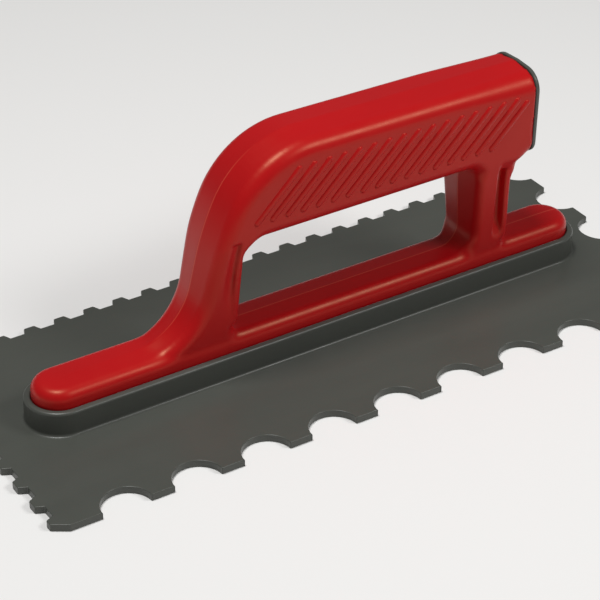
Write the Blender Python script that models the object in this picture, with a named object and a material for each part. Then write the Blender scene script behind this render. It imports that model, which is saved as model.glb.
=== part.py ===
"""Notched trowel: a moulded plate with four notched edges, a loop handle, its end cap and its screws.

Metres, +Z up. The origin is the middle of the plate's underside. +X runs along the plate towards
the capped end of the grip, and -Y is the long edge with the round notches.
"""

import math

import bmesh
import bpy
from mathutils import Vector

# Plate: one moulding with the socket rim that the handle's foot stands in.
PLATE_LENGTH = 0.270
PLATE_WIDTH = 0.1108
PLATE_THICKNESS = 0.0028
ROUND_NOTCH_RADIUS = 0.0091
ROUND_NOTCH_PITCH = 0.0271
ROUND_NOTCH_SEGMENTS = 24
SMALL_NOTCH_PITCH = 0.01223
SMALL_NOTCH_DEPTH = 0.0047
SMALL_TIP_WIDTH = 0.0026
SMALL_FLANK_RUN = 0.0021
BACK_FIRST_TIP = 0.0104
LEFT_FIRST_TIP = 0.0042
CORNER_CUT_LENGTH = 0.0056
CORNER_CUT_WIDTH = 0.0036
SMALLEST_CORNER_TOOTH = 0.006

# Socket rim on top of the plate.
RIM_END_MARGIN = 0.0186
RIM_HALF_WIDTH = 0.0126
RIM_WALL = 0.0024
RIM_HEIGHT = 0.0094
RIM_FILLET = 0.0007

# Clearances between pieces that touch on the real tool.
SEAT_GAP = 0.0003
CONE_GAP = 0.00045

# Handle foot: the stadium that stands in the rim.
FOOT_HEIGHT = 0.0158
FOOT_EDGE_RADIUS = 0.0040
FOOT_POCKET_WALL = 0.0025
FOOT_ROOF = 0.0050

# Handle loop, as seen from the side.
OPENING_HEIGHT = 0.0377
OPENING_FRONT_MARGIN = 0.0667
OPENING_REAR_MARGIN = 0.0397
OPENING_UPPER_FRONT_RADIUS = 0.008
OPENING_LOWER_REAR_RADIUS = 0.009
OPENING_SMALL_RADIUS = 0.004
OPENING_TAPER = 0.0008
GRIP_HEIGHT = 0.0336
GRIP_TOP_FALL = 0.0012
GRIP_HALF_WIDTH = 0.0137
GRIP_SIDE_DRAFT = 0.0006
GRIP_END_OVERHANG = 0.0065
COLUMN_SETBACK = 0.0003
FRONT_COLUMN_WIDTH = 0.0135
FRONT_COLUMN_LEAN = 0.245
FRONT_FOOT_RADIUS = 0.018
REAR_COLUMN_WIDTH = 0.0155
REAR_COLUMN_TAPER = 0.0004
REAR_FOOT_RADIUS = 0.005
FLARE_RADIUS = 0.010
SIDE_EDGE_RADIUS = 0.0050
MOULD_CREST = 0.0008
BEND_RADIUS = 0.036
ARC_STEPS = 8
EDGE_STEPS = 3

# Bore along the grip, closed by the end cap.
GRIP_WALL = 0.0030
BORE_FRONT_MARGIN = 0.0312
BORE_CORNER_RADIUS = 0.0045
CAP_THICKNESS = 0.0016
CAP_SPIGOT_LENGTH = 0.0090
CAP_SPIGOT_WALL = 0.0016

# Countersunk self-tapping screws, from below.
SCREW_COUNT = 4
SCREW_END_MARGIN = 0.0138
SCREW_RADIUS = 0.0020
SCREW_HEAD_RADIUS = 0.0038
SCREW_HEAD_RECESS = 0.0003
SCREW_LENGTH = 0.0130
SCREW_POINT = 0.0030
SCREW_SEGMENTS = 20
SCREW_BOSS_RADIUS = 0.0060
CROSS_LENGTH = 0.0040
CROSS_WIDTH = 0.0009
CROSS_DEPTH = 0.0011

# Levels that follow from the sizes above.
FOOT_BASE_Z = PLATE_THICKNESS + SEAT_GAP
FOOT_TOP_Z = FOOT_BASE_Z + FOOT_HEIGHT
GRIP_UNDER_Z = FOOT_TOP_Z - MOULD_CREST + OPENING_HEIGHT
GRIP_TOP_Z = GRIP_UNDER_Z + GRIP_HEIGHT
RIM_TOP_Z = PLATE_THICKNESS + RIM_HEIGHT
FOOT_HALF_WIDTH = RIM_HALF_WIDTH - RIM_WALL - SEAT_GAP
COLUMN_HALF_WIDTH = FOOT_HALF_WIDTH - COLUMN_SETBACK
GRIP_UNDER_HALF_WIDTH = GRIP_HALF_WIDTH - GRIP_SIDE_DRAFT
STADIUM_HALF_SPAN = PLATE_LENGTH / 2 - RIM_END_MARGIN - RIM_HALF_WIDTH
OPENING_LEFT_X = OPENING_FRONT_MARGIN - STADIUM_HALF_SPAN
OPENING_RIGHT_X = STADIUM_HALF_SPAN - OPENING_REAR_MARGIN
REAR_COLUMN_OUTER_X = OPENING_RIGHT_X + REAR_COLUMN_WIDTH
GRIP_END_X = REAR_COLUMN_OUTER_X + GRIP_END_OVERHANG


def clear_scene():
    for old in list(bpy.data.objects):
        bpy.data.objects.remove(old, do_unlink=True)


def material(name, colour, roughness, metallic=0.0):
    made = bpy.data.materials.new(name)
    made.use_nodes = True
    shader = made.node_tree.nodes["Principled BSDF"]
    shader.inputs["Base Color"].default_value = (*colour, 1.0)
    shader.inputs["Roughness"].default_value = roughness
    shader.inputs["Metallic"].default_value = metallic
    return made


def object_from(name, shape, finish=None):
    """Turns a bmesh into an object. One without a finish is a cutter, kept out of the render."""
    bmesh.ops.recalc_face_normals(shape, faces=shape.faces)
    mesh = bpy.data.meshes.new(name)
    shape.to_mesh(mesh)
    shape.free()
    made = bpy.data.objects.new(name, mesh)
    bpy.context.scene.collection.objects.link(made)
    if finish is None:
        made.hide_render = True
        made.display_type = "WIRE"
    else:
        mesh.materials.append(finish)
        mesh.shade_smooth()
        mesh.set_sharp_from_angle(angle=math.radians(35))
    return made


def combine(target, other, operation):
    """Adds a Boolean modifier that joins or cuts target with other."""
    boolean = target.modifiers.new(other.name, "BOOLEAN")
    boolean.operation = operation
    boolean.object = other
    boolean.solver = "EXACT"


def loft(loops, close_ends=True):
    """Skins equal-length loops of points into a tube, with flat ends or, for a ring, joined end to end."""
    shape = bmesh.new()
    rows = [[shape.verts.new(point) for point in loop] for loop in loops]
    pairs = list(zip(rows, rows[1:]))
    if not close_ends:
        pairs.append((rows[-1], rows[0]))
    for low, high in pairs:
        for i in range(len(low)):
            j = (i + 1) % len(low)
            shape.faces.new((low[i], low[j], high[j], high[i]))
    if close_ends:
        shape.faces.new(reversed(rows[0]))
        shape.faces.new(rows[-1])
    return shape


def stadium(half_span, radius, z, segments=16):
    """A stadium in plan: two half circles joined by straight sides."""
    points = []
    for centre_x, start in ((half_span, -90), (-half_span, 90)):
        for i in range(segments + 1):
            angle = math.radians(start + 180 * i / segments)
            points.append((centre_x + radius * math.cos(angle), radius * math.sin(angle), z))
    return points


def round_corners(corners, inset=0.0, segments=ARC_STEPS):
    """The outline through corners (x, z, radius, follows), listed anticlockwise and rounded.

    inset moves each side inwards, unless the corner that starts the side says it stays. Arcs keep
    their centres, so outlines of different inset have matching points.
    """
    count = len(corners)
    sides = []
    for i, (x, z, _, follows) in enumerate(corners):
        next_x, next_z = corners[(i + 1) % count][:2]
        along = Vector((next_x - x, next_z - z)).normalized()
        inward = Vector((-along.y, along.x))
        sides.append((Vector((x, z)) + inward * (inset if follows else 0.0), along))
    outline = []
    for i, (_, _, radius, _) in enumerate(corners):
        (start, before), (end, after) = sides[i - 1], sides[i]
        turn = before.cross(after)
        distance = (end - start).cross(after) / turn
        corner = start + before * distance
        if radius == 0:
            outline.append(corner)
            continue
        arc = radius - inset if turn > 0 else radius + inset
        half_turn = before.angle(after) / 2
        reach = arc * math.tan(half_turn)
        side = 1 if turn > 0 else -1
        centre = corner - before * reach + Vector((-before.y, before.x)) * arc * side
        first = corner - before * reach - centre
        for step in range(segments + 1):
            swing = 2 * half_turn * step / segments * side
            cosine, sine = math.cos(swing), math.sin(swing)
            spoke = Vector((first.x * cosine - first.y * sine, first.x * sine + first.y * cosine))
            outline.append(centre + spoke)
    return outline


def quarter_round(radius):
    """The steps of a rounded edge, from the wall up: how far below the face, and how far in."""
    angles = [math.radians(90 * i / EDGE_STEPS) for i in range(EDGE_STEPS + 1)]
    return [(radius * (1 - math.sin(angle)), radius * (1 - math.cos(angle))) for angle in angles]


def prism(outline, low_z, high_z):
    """A straight prism on a plan outline."""
    return loft([[(x, y, z) for x, y in outline] for z in (low_z, high_z)])


def add_prism(shape, outline, low_z, high_z):
    """Adds a straight prism on a plan outline to a shape that holds several."""
    rows = [[shape.verts.new((x, y, z)) for x, y in outline] for z in (low_z, high_z)]
    shape.faces.new(reversed(rows[0]))
    shape.faces.new(rows[1])
    for i in range(len(outline)):
        j = (i + 1) % len(outline)
        shape.faces.new((rows[0][i], rows[0][j], rows[1][j], rows[1][i]))


def round_notches(name, centres):
    """Cylinders standing through the plate, one for each round notch."""
    shape = bmesh.new()
    for centre_x, centre_y in centres:
        outline = []
        for i in range(2 * ROUND_NOTCH_SEGMENTS):
            angle = math.pi * i / ROUND_NOTCH_SEGMENTS
            x = centre_x + ROUND_NOTCH_RADIUS * math.cos(angle)
            y = centre_y + ROUND_NOTCH_RADIUS * math.sin(angle)
            outline.append((x, y))
        add_prism(shape, outline, -PLATE_THICKNESS, 2 * PLATE_THICKNESS)
    return object_from(name, shape)


def small_notches(name, start, along, inward, length, first_tip):
    """Trapezoidal cutters between pointed tips, along the edge that starts at start."""
    shape = bmesh.new()
    root_half = (SMALL_NOTCH_PITCH - SMALL_TIP_WIDTH) / 2 - SMALL_FLANK_RUN
    slope = SMALL_FLANK_RUN / SMALL_NOTCH_DEPTH
    outside = SMALL_TIP_WIDTH / 2
    mouth_half = root_half + slope * (SMALL_NOTCH_DEPTH + outside)
    middle = first_tip - SMALL_NOTCH_PITCH / 2
    if middle < 0:
        # The corner cut stands for a notch that would open past the corner.
        middle += SMALL_NOTCH_PITCH
    while middle < length + root_half:
        outline = []
        for across, depth in (
            (-mouth_half, -outside),
            (mouth_half, -outside),
            (root_half, SMALL_NOTCH_DEPTH),
            (-root_half, SMALL_NOTCH_DEPTH),
        ):
            outline.append(start + along * (middle + across) + inward * depth)
        add_prism(shape, outline, -PLATE_THICKNESS, 2 * PLATE_THICKNESS)
        middle += SMALL_NOTCH_PITCH
    return object_from(name, shape)


def screw_places():
    """The screws' places along the foot, evenly spread between the two outer ones."""
    outer = STADIUM_HALF_SPAN - SCREW_END_MARGIN
    return [outer * (2 * i / (SCREW_COUNT - 1) - 1) for i in range(SCREW_COUNT)]


def turned(profile, centre_x, segments=SCREW_SEGMENTS):
    """A solid of revolution about the upright axis at centre_x, from (radius, z) points, bottom first."""
    loops = []
    for radius, z in profile:
        loop = []
        for i in range(segments):
            angle = 2 * math.pi * i / segments
            loop.append((centre_x + radius * math.cos(angle), radius * math.sin(angle), z))
        loops.append(loop)
    return loft(loops)


def screw_levels():
    """Heights of the head's face, of the shank's start and of the point."""
    head_z = SCREW_HEAD_RECESS
    neck_z = head_z + SCREW_HEAD_RADIUS - SCREW_RADIUS
    return head_z, neck_z, head_z + SCREW_LENGTH


def build_plate(finish):
    half_length, half_width = PLATE_LENGTH / 2, PLATE_WIDTH / 2
    outline = [
        (-half_length, CORNER_CUT_WIDTH - half_width),
        (CORNER_CUT_LENGTH - half_length, -half_width),
        (half_length, -half_width),
        (half_length, half_width),
        (-half_length, half_width),
    ]
    plate = object_from("notched_plate", prism(outline, 0.0, PLATE_THICKNESS), finish)

    room = PLATE_LENGTH - 2 * (SMALLEST_CORNER_TOOTH + ROUND_NOTCH_RADIUS)
    steps = int(room / ROUND_NOTCH_PITCH)
    front = [((i - steps / 2) * ROUND_NOTCH_PITCH, -half_width) for i in range(steps + 1)]
    reach = int((half_width + ROUND_NOTCH_RADIUS) / ROUND_NOTCH_PITCH)
    side = [(half_length, i * ROUND_NOTCH_PITCH) for i in range(-reach, reach + 1)]
    back_start = Vector((-half_length, half_width))
    left_start = Vector((-half_length, -half_width))
    east, north, south = Vector((1, 0)), Vector((0, 1)), Vector((0, -1))
    cutters = [
        round_notches("front_notches", front),
        round_notches("end_notches", side),
        small_notches("back_notches", back_start, east, south, PLATE_LENGTH, BACK_FIRST_TIP),
        small_notches("left_notches", left_start, north, east, PLATE_WIDTH, LEFT_FIRST_TIP),
    ]
    combine(plate, build_rim(), "UNION")
    for cutter in cutters:
        combine(plate, cutter, "DIFFERENCE")

    head_z, neck_z, _ = screw_levels()
    for number, x in enumerate(screw_places(), 1):
        profile = [
            (SCREW_HEAD_RADIUS + CONE_GAP, -PLATE_THICKNESS),
            (SCREW_HEAD_RADIUS + CONE_GAP, head_z),
            (SCREW_RADIUS + CONE_GAP, neck_z),
            (SCREW_RADIUS + CONE_GAP, 2 * PLATE_THICKNESS),
        ]
        hole = object_from(f"countersink_{number}", turned(profile, x))
        combine(plate, hole, "DIFFERENCE")
    return plate


def build_rim():
    """A drafted ring with a small fillet where it meets the plate, sunk into the plate for the union."""
    inner = RIM_HALF_WIDTH - RIM_WALL
    edge = RIM_FILLET / 2
    sunk_z = PLATE_THICKNESS / 2
    section = [
        (inner, sunk_z),
        (RIM_HALF_WIDTH + RIM_FILLET, sunk_z),
        (RIM_HALF_WIDTH + RIM_FILLET, PLATE_THICKNESS),
        (RIM_HALF_WIDTH + RIM_FILLET * 0.3, PLATE_THICKNESS + RIM_FILLET * 0.3),
        (RIM_HALF_WIDTH, PLATE_THICKNESS + RIM_FILLET),
        (RIM_HALF_WIDTH, RIM_TOP_Z - edge),
        (RIM_HALF_WIDTH - edge, RIM_TOP_Z),
        (inner, RIM_TOP_Z),
    ]
    loops = [stadium(STADIUM_HALF_SPAN, radius, z) for radius, z in section]
    return object_from("socket_rim", loft(loops, close_ends=False))


def loop_corners():
    """The handle's outline from the side: x, z, corner radius and whether the next side is rounded."""
    slab_z = FOOT_BASE_Z + FOOT_HEIGHT / 2
    shoulder_z = FOOT_TOP_Z - MOULD_CREST
    slab_x = STADIUM_HALF_SPAN - FOOT_EDGE_RADIUS
    front_foot_x = OPENING_LEFT_X - FRONT_COLUMN_WIDTH - FRONT_COLUMN_LEAN * OPENING_HEIGHT / 2
    bend_x = front_foot_x + FRONT_COLUMN_LEAN * (GRIP_TOP_Z - shoulder_z)
    flare_z = GRIP_UNDER_Z - GRIP_END_OVERHANG
    return [
        (-slab_x, slab_z, 0, False),
        (slab_x, slab_z, 0, False),
        (slab_x, shoulder_z, 0, True),
        (REAR_COLUMN_OUTER_X - REAR_COLUMN_TAPER, shoulder_z, REAR_FOOT_RADIUS, True),
        (REAR_COLUMN_OUTER_X, flare_z, FLARE_RADIUS, True),
        (GRIP_END_X, GRIP_UNDER_Z, 0, False),
        (GRIP_END_X, GRIP_TOP_Z - GRIP_TOP_FALL, 0, True),
        (bend_x, GRIP_TOP_Z, BEND_RADIUS, True),
        (front_foot_x, shoulder_z, FRONT_FOOT_RADIUS, True),
        (-slab_x, shoulder_z, 0, False),
    ]


def opening_corners():
    """The hand opening, listed clockwise so that an inset widens it."""
    low_z = FOOT_TOP_Z - MOULD_CREST
    return [
        (OPENING_LEFT_X - OPENING_TAPER, low_z, OPENING_SMALL_RADIUS, True),
        (OPENING_LEFT_X + OPENING_TAPER, GRIP_UNDER_Z, OPENING_UPPER_FRONT_RADIUS, True),
        (OPENING_RIGHT_X - OPENING_TAPER, GRIP_UNDER_Z, OPENING_SMALL_RADIUS, True),
        (OPENING_RIGHT_X + OPENING_TAPER, low_z, OPENING_LOWER_REAR_RADIUS, True),
    ]


def loop_half_width(z):
    """Half the handle's width: narrow at the foot, full at the grip."""
    low_z = FOOT_TOP_Z - MOULD_CREST
    if z < low_z:
        return COLUMN_HALF_WIDTH
    if z < GRIP_UNDER_Z:
        share = (z - low_z) / (GRIP_UNDER_Z - low_z)
        return COLUMN_HALF_WIDTH + share * (GRIP_UNDER_HALF_WIDTH - COLUMN_HALF_WIDTH)
    share = min((z - GRIP_UNDER_Z) / (GRIP_HEIGHT - SIDE_EDGE_RADIUS), 1.0)
    return GRIP_UNDER_HALF_WIDTH + share * (GRIP_HALF_WIDTH - GRIP_UNDER_HALF_WIDTH)


def build_loop():
    """Columns and grip, skinned over the side outline from one side face to the other."""
    layers = quarter_round(SIDE_EDGE_RADIUS)
    levels = [(-1, below_side, inset) for below_side, inset in reversed(layers)]
    levels.append((0, 0.0, -MOULD_CREST))
    levels += [(1, below_side, inset) for below_side, inset in layers]

    shape = bmesh.new()
    for corners in (loop_corners(), opening_corners()):
        rows = []
        for side, below_side, inset in levels:
            row = []
            for x, z in round_corners(corners, inset):
                y = side * (loop_half_width(z) - below_side)
                row.append(shape.verts.new((x, y, z)))
            rows.append(row)
        for near, far in zip(rows, rows[1:]):
            for i in range(len(near)):
                j = (i + 1) % len(near)
                shape.faces.new((near[i], near[j], far[j], far[i]))
    rims = [edge for edge in shape.edges if edge.is_boundary]
    for side in (-1, 1):
        edges = [edge for edge in rims if edge.verts[0].co.y * side > 0]
        bmesh.ops.triangle_fill(shape, edges=edges, normal=(0, side, 0), use_beauty=True)
    return object_from("handle_loop", shape)


def grip_section(x, inset):
    """The grip's bore or plug section at x, pulled in from the grip's skin by inset."""
    low_z, high_z = GRIP_UNDER_Z + inset, GRIP_TOP_Z - GRIP_TOP_FALL - inset
    low_y, high_y = GRIP_UNDER_HALF_WIDTH - inset, GRIP_HALF_WIDTH - inset
    radius = BORE_CORNER_RADIUS
    corners = [
        (-low_y, low_z, radius, True),
        (low_y, low_z, radius, True),
        (high_y, high_z, radius, True),
        (-high_y, high_z, radius, True),
    ]
    return [(x, y, z) for y, z in round_corners(corners, segments=4)]


def build_handle(finish):
    foot_levels = [(FOOT_HALF_WIDTH, FOOT_BASE_Z)]
    for below_top, inset in quarter_round(FOOT_EDGE_RADIUS):
        foot_levels.append((FOOT_HALF_WIDTH - inset, FOOT_TOP_Z - below_top))
    loops = [stadium(STADIUM_HALF_SPAN, radius, z) for radius, z in foot_levels]
    handle = object_from("handle", loft(loops), finish)
    combine(handle, build_loop(), "UNION")

    bore_ends = (OPENING_LEFT_X + BORE_FRONT_MARGIN, GRIP_END_X + GRIP_WALL)
    bore = loft([grip_section(x, GRIP_WALL) for x in bore_ends])
    combine(handle, object_from("grip_bore", bore), "DIFFERENCE")

    places = screw_places()
    pocket_radius = FOOT_HALF_WIDTH - FOOT_POCKET_WALL
    for number, (left, right) in enumerate(zip(places, places[1:]), 1):
        middle = (left + right) / 2
        half_span = (right - left) / 2 - SCREW_BOSS_RADIUS - pocket_radius
        loops = []
        for level in (FOOT_BASE_Z - FOOT_ROOF, FOOT_TOP_Z - FOOT_ROOF):
            outline = stadium(half_span, pocket_radius, level, ARC_STEPS)
            loops.append([(middle + x, y, z) for x, y, z in outline])
        combine(handle, object_from(f"foot_pocket_{number}", loft(loops)), "DIFFERENCE")

    point_z = screw_levels()[2]
    for number, x in enumerate(places, 1):
        radius = SCREW_RADIUS + SEAT_GAP
        profile = [(radius, 0.0), (radius, point_z + SEAT_GAP)]
        combine(handle, object_from(f"pilot_hole_{number}", turned(profile, x)), "DIFFERENCE")
    return handle


def build_end_cap(finish):
    """A plug with a flange over the open end of the grip and a hollow spigot inside the bore."""
    seat_x = GRIP_END_X + SEAT_GAP
    flange = [cap_outline(seat_x), cap_outline(seat_x + CAP_THICKNESS)]
    cap = object_from("end_cap", loft(flange), finish)
    outside = GRIP_WALL + SEAT_GAP
    inside = outside + CAP_SPIGOT_WALL
    spigot_x = seat_x - CAP_SPIGOT_LENGTH
    outer = [grip_section(spigot_x, outside), grip_section(seat_x + CAP_THICKNESS / 2, outside)]
    inner = [grip_section(spigot_x - CAP_THICKNESS, inside), grip_section(seat_x, inside)]
    combine(cap, object_from("cap_spigot", loft(outer)), "UNION")
    combine(cap, object_from("cap_hollow", loft(inner)), "DIFFERENCE")
    return cap


def cap_outline(x):
    """The grip's outer section at its end, with the mould crest along its top and underside."""
    high_z = GRIP_TOP_Z - GRIP_TOP_FALL
    corners = [
        (-GRIP_UNDER_HALF_WIDTH, GRIP_UNDER_Z, SIDE_EDGE_RADIUS, True),
        (0.0, GRIP_UNDER_Z - MOULD_CREST, 0, True),
        (GRIP_UNDER_HALF_WIDTH, GRIP_UNDER_Z, SIDE_EDGE_RADIUS, True),
        (GRIP_HALF_WIDTH, high_z, SIDE_EDGE_RADIUS, True),
        (0.0, high_z + MOULD_CREST, 0, True),
        (-GRIP_HALF_WIDTH, high_z, SIDE_EDGE_RADIUS, True),
    ]
    return [(x, y, z) for y, z in round_corners(corners)]


def build_screw(number, x, finish):
    head_z, neck_z, point_z = screw_levels()
    tip_radius = SCREW_RADIUS / 8
    profile = [
        (SCREW_HEAD_RADIUS, head_z),
        (SCREW_RADIUS, neck_z),
        (SCREW_RADIUS, point_z - SCREW_POINT),
        (tip_radius, point_z),
    ]
    screw = object_from(f"foot_screw_{number}", turned(profile, x), finish)
    for name, half_x, half_y in (("a", CROSS_LENGTH, CROSS_WIDTH), ("b", CROSS_WIDTH, CROSS_LENGTH)):
        outline = [(x + i * half_x / 2, j * half_y / 2) for i, j in ((-1, -1), (1, -1), (1, 1), (-1, 1))]
        slot = prism(outline, head_z - CROSS_DEPTH, head_z + CROSS_DEPTH)
        combine(screw, object_from(f"cross_{number}{name}", slot), "DIFFERENCE")
    return screw


def main():
    clear_scene()
    plate_finish = material("grey_moulding", (0.075, 0.085, 0.075), 0.45)
    handle_finish = material("red_moulding", (0.42, 0.018, 0.020), 0.30)
    cap_finish = material("cap_moulding", (0.16, 0.17, 0.16), 0.45)
    screw_finish = material("zinc_plated_steel", (0.62, 0.62, 0.60), 0.35, 1.0)
    build_plate(plate_finish)
    build_handle(handle_finish)
    build_end_cap(cap_finish)
    for number, x in enumerate(screw_places(), 1):
        build_screw(number, x, screw_finish)


main()
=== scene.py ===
"""Fine model of a plastic notched trowel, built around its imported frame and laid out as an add-on.

Metres, +Z up. The plate lies on the floor with the origin at the middle of its underside. +X runs
along the plate towards the capped end of the grip, and -Y is the long edge with the round notches.
"""

import math

import bmesh
import bpy
import numpy as np
from bpy.props import FloatProperty, FloatVectorProperty, IntProperty, PointerProperty
from mathutils import Matrix, Vector


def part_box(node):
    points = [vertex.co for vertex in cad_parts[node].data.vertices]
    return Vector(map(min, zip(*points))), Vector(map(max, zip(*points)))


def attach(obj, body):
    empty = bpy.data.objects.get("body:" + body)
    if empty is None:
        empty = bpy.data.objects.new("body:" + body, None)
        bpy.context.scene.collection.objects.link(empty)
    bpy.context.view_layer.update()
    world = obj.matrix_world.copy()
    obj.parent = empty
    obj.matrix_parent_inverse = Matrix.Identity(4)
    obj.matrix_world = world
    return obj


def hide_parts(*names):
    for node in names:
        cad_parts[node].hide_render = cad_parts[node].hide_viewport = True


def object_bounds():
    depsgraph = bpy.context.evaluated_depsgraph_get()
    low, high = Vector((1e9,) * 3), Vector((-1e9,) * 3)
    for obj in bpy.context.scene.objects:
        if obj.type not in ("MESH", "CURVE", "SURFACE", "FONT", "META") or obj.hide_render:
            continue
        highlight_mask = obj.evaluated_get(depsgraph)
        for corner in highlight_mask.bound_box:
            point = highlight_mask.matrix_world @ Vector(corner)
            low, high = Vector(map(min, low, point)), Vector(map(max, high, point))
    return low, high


bl_info = {
    "name": "Notched Trowel",
    "version": (1, 0, 0),
    "blender": (4, 5, 0),
    "location": "3D View > Sidebar > Trowel",
    "description": "Toothed plate, loop handle with grip ribs, end cap, foot screws and a studio stage",
    "category": "Object",
}

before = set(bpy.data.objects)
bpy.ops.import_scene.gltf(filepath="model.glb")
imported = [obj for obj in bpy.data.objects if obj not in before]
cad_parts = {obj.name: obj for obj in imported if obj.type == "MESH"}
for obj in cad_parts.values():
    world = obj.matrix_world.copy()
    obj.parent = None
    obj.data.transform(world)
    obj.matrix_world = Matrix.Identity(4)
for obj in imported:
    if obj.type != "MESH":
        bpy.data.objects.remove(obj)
CAD_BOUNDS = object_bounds()
PLATE_LOW, PLATE_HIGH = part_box("notched_plate")
HANDLE_LOW, HANDLE_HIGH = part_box("handle")
CAP_LOW, CAP_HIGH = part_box("end_cap")
SCREW_NODES = sorted(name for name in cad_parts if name.startswith("foot_screw"))
SCREW_BOXES = [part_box(name) for name in SCREW_NODES]

MM = 0.001
# Two meshes that touch keep this gap, as the frame's own pieces do.
SEAT_GAP = 0.3 * MM


# ---------------------------------------------------------------- colours and nodes


def linear_from_hex(text):
    """An sRGB hex colour, such as "B3202A", as linear red, green, blue."""
    channels = [int(text[i : i + 2], 16) / 255 for i in (0, 2, 4)]
    return tuple(c / 12.92 if c <= 0.04045 else ((c + 0.055) / 1.055) ** 2.4 for c in channels)


def feed(tree, made, inputs):
    """Sets a node's inputs, by name or number: each to a value, or linked from an output.

    A node stands for its first output, and a list holds several links into one input.
    """
    for key, given in inputs.items():
        for value in given if isinstance(given, list) else [given]:
            if isinstance(value, bpy.types.Node):
                value = value.outputs[0]
            if isinstance(value, bpy.types.NodeSocket):
                tree.links.new(value, made.inputs[key])
            else:
                made.inputs[key].default_value = value


def node(tree, kind, inputs=None, **settings):
    """Adds a node with its settings and its inputs."""
    made = tree.nodes.new(kind)
    for name, value in settings.items():
        setattr(made, name, value)
    feed(tree, made, inputs or {})
    return made


def length(name, description, millimetres):
    return FloatProperty(
        name=name, description=description, default=millimetres * MM, unit="LENGTH", precision=5
    )


def colour(name, description, hexadecimal):
    return FloatVectorProperty(
        name=name,
        description=description,
        default=linear_from_hex(hexadecimal),
        subtype="COLOR",
        size=3,
        min=0.0,
        max=1.0,
    )


def angle(name, description, degrees):
    return FloatProperty(
        name=name, description=description, default=math.radians(degrees), subtype="ANGLE"
    )


# ---------------------------------------------------------------- settings


class PlateSettings(bpy.types.PropertyGroup):
    thickness: length("Thickness", "Thickness of the flat plate", 2.8)
    round_radius: length("Round radius", "Radius of the round notches", 9.1)
    round_pitch: length("Round pitch", "Distance between neighbouring round notches", 27.1)
    corner_tooth: length("Corner tooth", "Least land between the last round notch and the corner", 6.0)
    small_pitch: length("Small pitch", "Distance between neighbouring small notches", 12.23)
    small_depth: length("Small depth", "Depth of the small notches", 4.7)
    tip_width: length("Tip width", "Width of the tooth tips between small notches", 2.6)
    flank_run: length("Flank run", "How far a small notch narrows on each side towards its root", 2.1)
    back_first_tip: length("Back first tip", "First tip on the long back edge, from its left end", 10.4)
    left_first_tip: length("Left first tip", "First tip on the short left edge, from its near end", 4.2)
    corner_length: length("Corner cut length", "Cut across the near left corner, along the long edge", 5.6)
    corner_width: length("Corner cut width", "The same cut along the short edge", 3.6)
    edge_round: length("Edge round", "Rounding of the plate's edges", 0.38)
    rim_end_margin: length("Rim end margin", "From the plate's end to the socket rim", 18.6)
    rim_half_width: length("Rim half width", "Half the width of the socket rim", 12.6)
    rim_wall: length("Rim wall", "Wall of the socket rim", 2.4)
    rim_lip: length("Rim lip round", "Rounding of the rim's outer lip", 1.0)
    rim_fillet: length("Rim fillet", "Fillet between the rim and the plate", 1.1)
    grey: colour("Grey", "Colour of the grey moulding", "484A45")
    pale_grey: colour("Pale grey", "Paler streaks in the grey moulding", "50524C")


class HandleSettings(bpy.types.PropertyGroup):
    window_front: length("Window front", "From the foot's front end to the hand window", 76.0)
    window_rear: length("Window rear", "From the hand window to the foot's rear end", 49.6)
    window_height: length("Window height", "Height of the hand window", 37.7)
    window_taper: length("Window taper", "How far each end of the window leans", 0.8)
    grip_height: length("Grip height", "Height of the grip's section", 33.6)
    grip_fall: length("Grip fall", "How far the grip's top falls towards the cap", 1.2)
    grip_draft: length("Grip draft", "How much narrower each side is under the grip", 0.6)
    front_column: length("Front column", "Width of the front column at half height", 13.5)
    front_lean: FloatProperty(name="Front lean", description="Slope of the front column", default=0.245)
    rear_column: length("Rear column", "Width of the rear column", 15.5)
    bend_radius: length("Bend radius", "Outer radius where the front column turns into the grip", 36.0)
    foot_round: length("Foot round", "Rounding along the top edge of the foot", 4.2)
    foot_lift: length("Foot lift", "From the window's floor line up to the foot's top edge", 0.5)
    edge_round: length("Edge round", "Rounding along the sides of the columns and under the grip", 5.0)
    column_round: length("Column round", "Rounding of the rear column's inner edges", 3.2)
    top_round: length("Top round", "Rounding along the top edges of the grip", 5.6)
    end_round: length("End round", "Rounding of the same edges at the grip's end", 7.6)
    crisp_round: length("Crisp round", "Rounding of the crisp column edges", 0.9)
    crest: length("Mould crest", "How far the parting line stands out between the mould halves", 0.8)
    groove_depth: length("Groove depth", "Depth of the sink grooves beside the crisp edges", 2.0)
    cell: length("Cell", "Grid the skin is drawn on", 0.82)
    red: colour("Red", "Colour of the red moulding", "BC1218")
    deep_red: colour("Deep red", "Darker flow marks in the red moulding", "AE1016")


class RibSettings(bpy.types.PropertyGroup):
    count: IntProperty(name="Count", description="Ribs on each side of the grip", default=17, min=1)
    pitch: length("Pitch", "Distance between ribs along the grip", 6.21)
    first_top: length("First top", "From the hand window's front to the top of the first rib", 23.2)
    low: length("Low end", "Height of the ribs' lower ends above the floor", 62.8)
    high: length("High end", "Height of the ribs' upper ends above the floor", 81.4)
    lean: angle("Lean", "Slope of the ribs above the horizontal", 45.4)
    width: length("Width", "Width of a rib", 2.7)
    height: length("Height", "How far a rib stands out of the grip", 0.6)
    sunk: length("Sunk", "How deep a rib's middle line lies in the grip, so that its sides rise gently", 0.4)
    fade: length("Fade", "How much less a rib stands out at its lower end than at its upper end", 0.1)
    last_short: length("Last shorter", "How much shorter the last rib is, at its top", 2.8)


class CapSettings(bpy.types.PropertyGroup):
    flange: length("Flange", "Thickness of the cap's flange", 1.6)
    edge_round: length("Edge round", "Rounding of the flange's outer edge", 0.6)
    grip_wall: length("Grip wall", "Wall of the grip around the bore", 3.0)
    spigot_wall: length("Spigot wall", "Wall of the hollow spigot in the bore", 1.6)
    dish: length("Dish", "Depth of the shallow dish in the cap's face", 0.3)
    grey: colour("Grey", "Colour of the cap", "50524C")


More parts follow.
